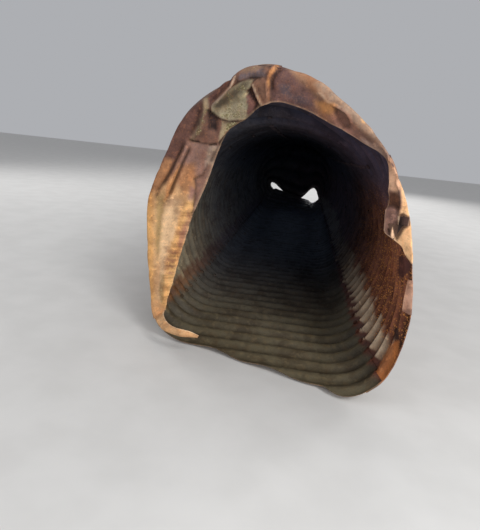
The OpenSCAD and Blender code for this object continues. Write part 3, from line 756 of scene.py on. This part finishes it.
def lip_tone(points, uv, height):
    """Colour of the lips, with painted shade and highlights among its patches and on its relief, and how
    much lichen grows there.
    """
    rough = frayed(points, uv)
    colour = np.broadcast_to(rgb(*BROWN), points.shape)
    for outline, blur, tint, cover in COLOURS.values():
        place = uv if blur < CRISP else rough
        colour = blend(colour, rgb(*tint), cover * patch(place, outline, blur))
    for (x, y), long, wide in BANDS:
        off = ((rough[..., 0] - x) / long) ** 2 + ((rough[..., 1] - y) / wide) ** 2
        colour = blend(colour, rgb(*BAND_COLOUR), BAND_COVER * np.exp(-off))
    shade_in_hollows, light_on_ridges = hollows(height)
    # Painted shade darkens the relief's hollows and a painted highlight lightens its ridges
    colour = colour * (1 - HOLLOW_SHADE * shade_in_hollows[..., None]) * (1 + RIDGE_HIGHLIGHT * light_on_ridges[..., None])
    lichen = np.max([cover * patch(rough, outline, blur) for outline, blur, cover in LICHEN], 0)
    return colour, lichen * (1 - 0.5 * shade_in_hollows)


# Heights of the lines that water, wet rust and silt leave on the inner walls, the last two at the
# right wall and at the left one
WATER_Z = 0.165
WET_Z = (0.21, 0.25)
SILT_Z = (0.28, 0.5)
# The walls' colours change across the pipe over SIDE_SPAN, and turn to bluish painted shade above CROWN_Z
# and beyond DEEP_Y
SIDE_SPAN = 0.9
CROWN_Z = 1.05
DEEP_Y = 0.9
# Colours of the right inner wall near the rim: outline, blur in pixels, colour, how far it covers
WALL_COLOURS = {
    # Painted shade on the facet under the flap, which lies in the wall's shadow
    "painted shade on the facet under the flap": ([(399, 256), (405, 256), (411, 264), (411, 269), (401, 280), (398, 272)],
        1.0, (92, 56, 52), 0.95),
    "end of the lowest corrugation": ([(373, 386), (386, 382), (399, 352), (399, 340), (391, 345),
        (384, 358), (376, 372)], 1.6, (196, 122, 68), 0.9),
    # Painted shade: a dark patch standing for the shade in a torn hole
    "painted dark of a torn hole": ([(394, 327), (399, 328), (400, 340), (394.5, 341)], 1.4, (46, 32, 32), 0.9),
}


def wall_tone(points):
    """Inside of the pipe: flaking rust above, a band of dried silt, wet rust and mud below, with painted
    shade in the corrugations' valleys, under the crown and far inside the pipe.
    """
    x, y, z = (points[..., i] for i in range(3))
    ridge = 0.5 - 0.5 * wave(y + ORIGIN_Y)
    uneven = 0.05 * (grain(points, 7, 5) - 0.5) + 0.03 * (grain(points, 30, 6) - 0.5)
    right = step(x, SIDE_SPAN)
    # Silty grey on the left wall and rust on the right; the left wall is paler partly from its silt and
    # partly as painted light
    colour = blend(rgb(156, 146, 120), rgb(148, 92, 70), right)
    patchy = step(grain(points, 9, 12) - 0.5, 0.4)
    colour = colour * (0.82 + 0.3 * patchy)[..., None]
    wet_z, silt_z = (left_z + (right_z - left_z) * right for right_z, left_z in (WET_Z, SILT_Z))
    silt = blend(rgb(164, 150, 120), rgb(224, 202, 174), right)
    covered = step(silt_z + 0.1 * ridge + 2.2 * uneven - z, 0.05) * (0.4 + 0.6 * ridge)
    colour = blend(colour, silt, covered)
    # Painted shade: the corrugations' valleys darker than their ridges, also in the wet rust, the mud and
    # far inside
    colour = colour * (0.2 + 0.92 * ridge ** (0.6 + 0.6 * right))[..., None]
    below = blend(rgb(124, 88, 56), rgb(104, 62, 50), right)
    wet = step(wet_z + 0.5 * uneven - z, 0.012)
    colour = blend(colour, below * (0.6 + 0.5 * ridge)[..., None], wet)
    drowned = step(WATER_Z + 0.3 * uneven - z, 0.03)
    colour = blend(colour, rgb(88, 80, 62) * (0.75 + 0.35 * ridge)[..., None], drowned)
    # Bluish painted shade high on the walls, under the crown
    high = step(z - CROWN_Z, 0.5)
    colour = blend(colour, rgb(48, 56, 80), 0.85 * high)
    # Bluish grey painted shade far inside the pipe, darker in the corrugations' valleys
    depth_shade = step(y - DEEP_Y, 3.0)
    colour = blend(colour, rgb(80, 88, 106) * (0.6 + 0.55 * ridge)[..., None], 0.75 * depth_shade)
    return colour, wet, right * (1 - covered) * (1 - 0.9 * depth_shade) * (1 - high) * (1 - wet)


def outside_tone(points, seed):
    """Outside of the pipe: rust of several ages, worn zinc on the crests and earth in the valleys."""
    crest = 0.5 + 0.5 * wave(points[..., 1] + ORIGIN_Y)
    broad, mid = grain(points, 1.7, seed), grain(points, 6, seed + 1)
    colour = blend(rgb(112, 82, 66), rgb(146, 98, 66), step(broad - 0.55, 0.3))
    colour = blend(colour, rgb(84, 60, 52), step(0.42 - mid, 0.25))
    colour = blend(colour, rgb(128, 120, 110), 0.6 * step(mid - 0.62, 0.15) * crest)
    earth = step(0.45 - crest + 0.5 * (mid - 0.5), 0.5)
    low = step(0.5 - points[..., 2], 0.6)
    return blend(colour, rgb(112, 98, 78), np.clip(0.55 * earth + 0.45 * low, 0, 0.85))


def even(inside, outside, fleck):
    """Values for a sheet's inside and outside: colours, flakes, and no lichen or wet rust."""
    return {"tone": [inside, outside], "fleck": [fleck, fleck], "lichen": [0.0, 0.0], "wet": [0.0, 0.0]}


# How many flakes of rust the outside has
PIPE_FLECK = 0.3


def pipe_tones(middle, seed):
    inner, wet, fleck = wall_tone(middle)
    tones = even(inner, outside_tone(middle, seed), PIPE_FLECK)
    tones["fleck"][0] = fleck
    tones["wet"][0] = wet
    return tones


def spread(a, b, gap):
    """Even places from a to b, gap apart at most."""
    return np.linspace(a, b, max(2, int(math.ceil(abs(b - a) / gap)) + 1))


# The lowest layer of each ring's plates, and each plate's angles and layers above that
RING_LAYER = {1: 2, 2: 0, 3: 2, 4: 0}
PLATES = {
    "left": (LEFT_SEAM - HALF_LAP, LEFT_CORNER + HALF_LAP, 1),
    "crown": (RIGHT_SEAM - HALF_LAP, LEFT_SEAM + HALF_LAP, 0),
    "right": (-CORNER_TURN - HALF_LAP, RIGHT_SEAM + HALF_LAP, 1),
}
# Distances between a sheet's points: along the pipe in metres, and round it in degrees
ROW_GAP = PITCH / 10
RING_GAP = 2.5
OUTLET_GAP = 3
MOUTH_GAP = 0.5
CORNER_GAP = 2
FLOOR_GAP = 0.7


def ring_rows(ring):
    start = MOUTH_Y if ring == 1 else RING_LAPS[ring - 2] * PITCH
    stop = CRUSH_Y if ring == 4 else (RING_LAPS[ring - 1] + 1) * PITCH
    return spread(stop, start, ROW_GAP)


def bottom_keys():
    """Angles of the bottom plates' columns: the left corner, the flat and the right corner."""
    left = spread(LEFT_END, LEFT_CORNER - HALF_LAP, CORNER_GAP)[::-1]
    floor = spread(CORNER_END - FLAT_SPAN, CORNER_END, FLOOR_GAP)
    right = spread(CORNER_END, -CORNER_TURN + HALF_LAP, CORNER_GAP)
    return np.concatenate([left[:-1], floor, right[1:]])


def pipe_sheet(name, middle, node, seed):
    closed_sheet(name, middle, [node], pipe_tones(middle, seed))


for ring, low in RING_LAYER.items():
    for part, (first, last, above) in PLATES.items():
        middle = barrel_sheet(spread(first, last, RING_GAP), ring_rows(ring), low + above)
        pipe_sheet(f"ring_{ring}_{part}_sheet", middle, f"ring_{ring}_{part}_plate",
                   10 * ring + len(part))
for ring, low in RING_LAYER.items():
    middle = barrel_sheet(bottom_keys(), ring_rows(ring), low)
    pipe_sheet(f"ring_{ring}_invert_sheet", middle, f"ring_{ring}_invert_plate", 10 * ring)

# Rows of a wall of the mouth or the outlet, and of a lip beyond the rim, as shares of its length
WALL_ROWS = 96
LIP_ROWS = 50
WALL = np.linspace(0, 1, WALL_ROWS)
LIP = np.linspace(0, 1, LIP_ROWS + 1)
for part, (first, last, above) in PLATES.items():
    middle = outlet_sheet(spread(first, last, OUTLET_GAP), WALL[::-1], above)
    pipe_sheet(f"outlet_{part}_sheet", middle, f"outlet_{part}_wall", 60 + len(part))
middle = outlet_sheet(bottom_keys(), WALL[::-1], 0)
pipe_sheet("outlet_invert_sheet", middle, "outlet_invert", 66)

# The angles where the left lip meets the crown's lip, where that meets the torn strip, and where the
# left lip ends. JOINT_BLUR is how many degrees the inner wall's colour changes over at the second
LEFT_JOINT = 98
RIGHT_JOINT = 49
LIP_END = 216
JOINT_BLUR = 1.5
LIP_FLECK = 0.3
# Behind a neighbour's lip a plate ends SHORT_ROWS before the rim. Its relief fades over the rows at
# the rim and its lip colours over more rows: how many rows before the rim that starts, and its length
SHORT_ROWS = 8
RELIEF_FADE = (3, 4)
COLOUR_FADE = (14, 12)
# A lip's free edge is paler, partly worn and partly a painted highlight of its lit cut edge: where that
# starts across the lip, over which share of it, and how much
EDGE_PALE_FROM = 0.96
EDGE_PALE_SHARE = 0.04
EDGE_WEAR_AND_LIGHT = 0.3


def mouth_plate(part, lips, nodes, seed, short=()):
    """A plate of the mouth, which runs on over the rim into its lip between the angles in lips. Columns
    between the angles in short end before the rim."""
    first, last, above = PLATES[part]
    keys = spread(first, last, MOUTH_GAP)
    layer = RING_LAYER[1] + above
    middle = np.concatenate([mouth_sheet(keys, WALL, layer), lip_sheet(keys, LIP, layer)[:, 1:]], 1)
    row = np.arange(middle.shape[1]) - WALL_ROWS
    uv = photo_place(middle)
    height = lip_relief(middle, uv) * eased((row + RELIEF_FADE[0]) / RELIEF_FADE[1])
    middle = middle + grid_normals(middle) * height[..., None]
    mid_keys = (keys[:-1] + keys[1:]) / 2
    cells = np.ones((len(keys) - 1, middle.shape[1] - 1), bool)
    cells[:, WALL_ROWS - 1:] = np.any([(mid_keys > a) & (mid_keys < b) for a, b in lips], 0)[:, None]
    for a, b in short:
        cells[(mid_keys > a) & (mid_keys < b), WALL_ROWS - SHORT_ROWS:] = False
    uv = photo_place(middle)
    tones = pipe_tones(middle, seed)
    tones["fleck"][1] *= LIP_FLECK
    if part == "right":
        for outline, blur, tint, cover in WALL_COLOURS.values():
            share = cover * patch(uv, outline, blur)
            tones["tone"][0] = blend(tones["tone"][0], rgb(*tint), share)
            tones["fleck"][0] = tones["fleck"][0] * (1 - share)
    colour, lichen = lip_tone(middle, uv, height)
    # Paler free edge: wear and a painted highlight
    worn = EDGE_WEAR_AND_LIGHT * eased((LIP[1:] - EDGE_PALE_FROM) / EDGE_PALE_SHARE)
    colour[:, WALL_ROWS:] = blend(colour[:, WALL_ROWS:], rgb(*PALE), worn)
    share = eased((row + COLOUR_FADE[0]) / COLOUR_FADE[1])
    tones["tone"][1] = blend(tones["tone"][1], colour, share)
    tones["lichen"][1] = lichen * share
    joint = np.exp(-((keys - RIGHT_JOINT) / JOINT_BLUR) ** 2)[:, None] * share
    tones["tone"][0] = blend(tones["tone"][0], colour, joint)
    closed_sheet(f"{part}_sheet", middle, nodes, tones, cells)


mouth_plate("left", [(LEFT_JOINT, LIP_END)],
            ["mouth_left_wall", "left_lip", "upper_left_fold"], 41)
mouth_plate("crown", [(RIGHT_JOINT, LEFT_JOINT)],
            ["mouth_crown_wall", "crown_pleat", "right_lip"], 43,
            [(RIGHT_JOINT - 9, RIGHT_JOINT), (LEFT_JOINT, LEFT_JOINT + 2)])
# The right plate's lips are its hem and the torn strip
mouth_plate("right", [(-6, 6), (12, RIGHT_JOINT)],
            ["mouth_right_wall", "right_strip", "right_flap", "right_hem"], 45,
            [(RIGHT_JOINT, RIGHT_JOINT + 2)])

# The tail runs on from the left lip's last column. Its upper edge is pale
TAIL_COLUMNS = 100
TAIL_RELIEF = 0.004
PALE_FROM = 0.86
PALE_SHARE = 0.12
start = lip_sheet(np.array([LIP_END]), LIP, RING_LAYER[1] + 1)[0]
middle = tail_sheet(np.linspace(0, len(TAIL), TAIL_COLUMNS), LIP, start)
middle = middle + grid_normals(middle) * (TAIL_RELIEF * (grain(middle, 30, 7) - 0.5))[..., None]
outside = blend(rgb(*TAN), rgb(*PALE), eased((LIP - PALE_FROM) / PALE_SHARE))
closed_sheet("tail_sheet", middle, ["left_tail"], even(rgb(96, 66, 44), outside, 0.2))

middle = mouth_sheet(bottom_keys(), WALL, RING_LAYER[1])
pipe_sheet("mouth_invert_sheet", middle, "mouth_invert", 47)

# The torn tongue: how far it stands off the rim, the curl's outer radius, width, turn and place
# round the pipe, how far its open end climbs and its top is cut down, and the flat end's width and drop
FOLD_R = 0.024
CURL_R = 0.022
CURL_WIDTH = 0.048
CURL_TURN = 230
CURL_ANGLE = 29
CURL_RISE = 0.009
CURL_CUT = 0.005
TONGUE_W = 0.075
TONGUE_DROP = 0.085
FLAT_COLUMNS = 14
BEND_COLUMNS = 7
CURL_COLUMNS = 32
TONGUE_ROWS = 24
# Its gap to the strip behind it, how blunt the flat end's tip is, the height of its top, and its gap to
# the bend. The angle where the curl starts, and how ragged the edges are
TONGUE_GAP = 0.0003
TIP = 0.002
FLAT_TOP = 0.001
BEND_GAP = 0.0005
CURL_START = 6
TATTER = 0.004
TATTER_STEP = 1.3
# The curl carries a painted highlight about one angle, and a sliver of the flat end is painted lit, in the
# photograph's pixels
LIGHT_TURN = 100
LIGHT_BLUR = 22
LIT_SLIVER = [(392.4, 227), (394.6, 238), (390.4, 238.4)]
LIT_BLUR = 0.6
LIT = 0.95


def torn_tongue():
    """The tongue that hangs from the tear: a curl, bent back towards the viewer, and a flat triangle."""
    a = math.radians(CURL_ANGLE)
    out = np.array([math.cos(a), 0, math.sin(a)])
    rim = mouth_sheet(np.array([CURL_ANGLE]), np.array([1.0]), RING_LAYER[1] + 1)[0, 0]
    at = rim - out * (PLATE / 2 + FOLD_R) - np.array([0, FOLD_R + PLATE + TONGUE_GAP, 0])
    low = -CURL_WIDTH / 2
    flat_x = np.concatenate([np.linspace(-TONGUE_W + TIP, -CURL_R - BEND_GAP, FLAT_COLUMNS),
                             np.linspace(-CURL_R, 0, BEND_COLUMNS)])
    turn = np.radians(np.linspace(CURL_START, CURL_TURN, CURL_COLUMNS))
    bend_r = CURL_R - PLATE / 2
    across = np.concatenate([flat_x, bend_r * np.sin(turn)])[:, None]
    toward = np.concatenate([0 * flat_x - PLATE / 2, bend_r * np.cos(turn) - CURL_R])[:, None]
    climb = CURL_RISE * (np.degrees(turn) / CURL_TURN) ** 2
    foot = np.concatenate([low - TONGUE_DROP * (1 - np.abs(2 * flat_x / TONGUE_W + 1)), low + climb])
    head = np.concatenate([np.full(FLAT_COLUMNS, low + FLAT_TOP), np.full(BEND_COLUMNS, -low - CURL_CUT),
                           climb - low - CURL_CUT])
    rise = np.linspace(0, 1, TONGUE_ROWS)
    ragged = TATTER * np.sin(np.arange(len(across)) * TATTER_STEP)[:, None] * (rise - 0.5)
    height = foot[:, None] + (head - foot)[:, None] * rise + ragged
    middle = np.stack([across + 0 * height, toward + 0 * height, height], -1) + at
    curl = (np.arange(len(across)) >= FLAT_COLUMNS)[:, None] * 1.0
    light = np.exp(-((np.degrees(turn) - LIGHT_TURN) / LIGHT_BLUR) ** 2)
    light = np.concatenate([0 * flat_x, light])[:, None]
    # Painted shade: the flat end is dark brown and the curl darker, on both sides
    inside = blend(rgb(80, 58, 46), rgb(50, 36, 32), curl)
    outside = blend(blend(rgb(104, 76, 58), rgb(66, 46, 40), curl), rgb(222, 180, 146), light)
    lit = LIT * patch(photo_place(middle), LIT_SLIVER, LIT_BLUR)
    sides = [blend(side, rgb(236, 196, 160), lit)[::-1] for side in (inside, outside)]
    closed_sheet("torn_tongue", middle[::-1], ["torn_curl"], even(*sides, 0.0))


torn_tongue()

# Bolts of the laps: hexagon heads inside, nuts and thread ends outside
BOLT = {"across_flats": 0.030, "head": 0.013, "nut": 0.016, "chamfer": 0.002,
        "thread_r": 0.0095, "thread": 0.010, "thread_chamfer": 0.001}
BOLT_RUST = (92, 70, 56)
NUT_RUST = (112, 84, 68)
# Two rows along each seam, which start behind the rim and end before the outlet
ROW_OFFSET = math.degrees(0.025 / MEAN_R)
SEAM_START = 0.5
SEAM_END = 0.12
SEAMS = (LEFT_SEAM, RIGHT_SEAM, -CORNER_TURN, LEFT_CORNER)
# One row round each ring lap, of bolts 244 mm apart that stay BOTTOM_CLEAR degrees from the flat bottom.
# The seams' rows stay LAP_CLEAR of a corrugation away from a ring lap
RING_STEP = math.degrees(0.244 / MEAN_R)
BOTTOM_CLEAR = 6
LAP_CLEAR = 0.3


def prism(sides, radius, height, chamfer, start=0.0):
    """Rings of a closed prism with a chamfered top, and its faces."""
    a = np.arange(sides) * 2 * math.pi / sides
    rings = [(radius, start), (radius, start + height - chamfer), (radius - chamfer, start + height)]
    points = [(r * math.cos(t), r * math.sin(t), h) for r, h in rings for t in a]
    faces = [(j * sides + i, j * sides + (i + 1) % sides, (j + 1) * sides + (i + 1) % sides,
              (j + 1) * sides + i) for j in (0, 1) for i in range(sides)]
    faces.append(tuple(range(2 * sides, 3 * sides)))
    faces.append(tuple(range(sides))[::-1])
    return np.array(points), faces


def sheet_point(key, y, layer):
    """The middle of a sheet at an angle and a place along the pipe, counted from the mouth."""
    keys = np.array([float(key)])
    if y < MOUTH_Y:
        return mouth_sheet(keys, (y - MOUTH_Y) / (mouth_end(keys) - MOUTH_Y), layer)[0, 0]
    if y > CRUSH_Y:
        return outlet_sheet(keys, (y - CRUSH_Y) / (outlet_end(keys) - CRUSH_Y), layer)[0, 0]
    return barrel_sheet(keys, np.array([y]), layer)[0, 0]


def low_layer(y):
    """Layer of the lowest plate of the ring that a place lies in."""
    return RING_LAYER[1 + sum(y >= lap * PITCH for lap in RING_LAPS)]


def add_bolts(name, places):
    """A joined mesh of bolts, each from its place inside and outside and its direction out. Each is
    turned and worn a little differently."""
    radius = BOLT["across_flats"] / math.sqrt(3)
    parts = [(prism(6, radius, BOLT["head"], BOLT["chamfer"]), -1),
             (prism(6, radius, BOLT["nut"], BOLT["chamfer"]), 1),
             (prism(8, BOLT["thread_r"], BOLT["thread"], BOLT["thread_chamfer"], BOLT["nut"]), 1)]
    points, faces, tints = [], [], []
    first = 0
    for number, (inside, outside, out) in enumerate(places):
        along = np.array([0.0, 1.0, 0.0])
        side = np.cross(along, out)
        turn = math.radians((number * 37) % 60)
        c, s = math.cos(turn), math.sin(turn)
        u, v = c * along + s * side, -s * along + c * side
        worn = 0.8 + 0.35 * ((number * 29) % 11) / 11
        # The heads take on the inner wall's colour, with its painted shade
        head = 0.3 * rgb(*BOLT_RUST) + 0.7 * wall_tone(inside)[0]
        for (shape, shape_faces), way in parts:
            x, y, z = shape.T[:, :, None]
            points.append((inside if way < 0 else outside) + x * u + y * v * way + z * out * way)
            faces += [tuple(first + i for i in face) for face in shape_faces]
            tints.append(np.tile(worn * (head if way < 0 else rgb(*NUT_RUST)), (len(shape), 1)))
            first += len(shape)
    mesh = bpy.data.meshes.new(name)
    mesh.from_pydata(np.concatenate(points).tolist(), [], faces)
    set_values(mesh, "tone", np.concatenate(tints))
    add_piece(name, mesh)


def bolt_place(key, y, inner, outer):
    out = np.insert(section(np.array([float(key)]))[1][0], 1, 0.0)
    half = out * PLATE / 2
    return sheet_point(key, y, inner) - half, sheet_point(key, y, outer) + half, out


seam_bolts = []
for seam in SEAMS:
    for number in range(2 * (RING_LAPS[-1] + RING_PITCHES)):
        y = number * PITCH / 2
        key = seam + (ROW_OFFSET if number % 2 else -ROW_OFFSET)
        in_lap = any(-LAP_CLEAR < y / PITCH - lap < 1 + LAP_CLEAR for lap in RING_LAPS)
        if mouth_end(np.array([key]))[0] + SEAM_START < y < OUTLET_Y - SEAM_END and not in_lap:
            seam_bolts.append(bolt_place(key, y, low_layer(y), low_layer(y) + 1))
add_bolts("seam_bolts", seam_bolts)

ring_bolts = []
for lap in RING_LAPS:
    for key in np.arange(CORNER_END + BOTTOM_CLEAR, LEFT_END - BOTTOM_CLEAR, RING_STEP):
        side = 1 if -CORNER_TURN < key < RIGHT_SEAM or LEFT_SEAM < key < LEFT_CORNER else 0
        ring_bolts.append(bolt_place(key, (lap + 0.5) * PITCH, side, 2 + side))
add_bolts("ring_bolts", ring_bolts)


# The floor lies just below the part
FLOOR_DROP = 0.002


def stage():
    bpy.ops.mesh.primitive_plane_add(size=80, location=(0, 0, CAD_BOX[0][2] - FLOOR_DROP))
    floor = bpy.context.object
    floor.name = "floor"
    n = Nodes("floor_pale")
    patchy = n.band(n.noise(n.place(), 3.0, 3, 0.5), 0.3, 0.7)
    n.put(n.inputs["Base Color"], n.mix(patchy, (0.62, 0.61, 0.59, 1), (0.66, 0.65, 0.63, 1)))
    n.put(n.inputs["Roughness"], 0.9)
    floor.data.materials.append(n.material)


def placed(name, data, at):
    holder = bpy.data.objects.new(name, data)
    holder.location = at
    bpy.context.scene.collection.objects.link(holder)
    return holder


def area_lamp(name, at, size, power):
    lamp = bpy.data.lights.new(name, "AREA")
    lamp.energy = power
    lamp.size = size
    return placed(name, lamp, at)


def lights_and_camera():
    scene = bpy.context.scene
    scene.view_settings.view_transform = "Standard"
    scene.world = bpy.data.worlds.new("studio")
    scene.world.use_nodes = True
    sky = scene.world.node_tree.nodes["Background"].inputs
    sky["Color"].default_value = (0.93, 0.95, 1.0, 1)
    sky["Strength"].default_value = 0.45
    for name, at, aim, size, power in (
            ("key", (3.5, -6.0, 5.0), (0, -1.0, 0.8), 2.0, 280),
            ("low_key", (3.0, -7.5, 2.4), (0, -1.0, 0.8), 2.0, 190),
            ("fill", (-5.0, -4.5, 3.5), (0, -1.0, 0.8), 4.0, 60),
            ("back", (3.0, 15.0, 6.5), (0, 6.5, 0.8), 4.0, 420),
            ("left_side", (-8.0, 6.0, 6.0), (0, 4.0, 0.8), 4.0, 260),
            ("right_side", (8.0, 6.0, 6.0), (0, 4.0, 0.8), 4.0, 260)):
        holder = area_lamp(name, at, size, power)
        holder.rotation_euler = (Vector(aim) - Vector(at)).to_track_quat("-Z", "Y").to_euler()
    glow = area_lamp("barrel_glow", (0, 4.2, 1.35), 0.4, 1.9)
    glow.data.shape = "RECTANGLE"
    glow.data.size_y = 5.0
    glow.data.color = (0.6, 0.75, 1.0)
    glow.visible_camera = False
    camera = bpy.data.cameras.new("camera")
    camera.sensor_fit = "HORIZONTAL"
    camera.sensor_width = 36
    camera.lens = camera.sensor_width * FOCAL_PX / IMAGE[0]
    camera.clip_end = 200
    scene.camera = placed("camera", camera, EYE)
    right, up, ahead = camera_axes()
    turn = Matrix((right, up, -ahead)).transposed()
    scene.camera.matrix_world = Matrix.Translation(EYE) @ turn.to_4x4()


stage()
lights_and_camera()
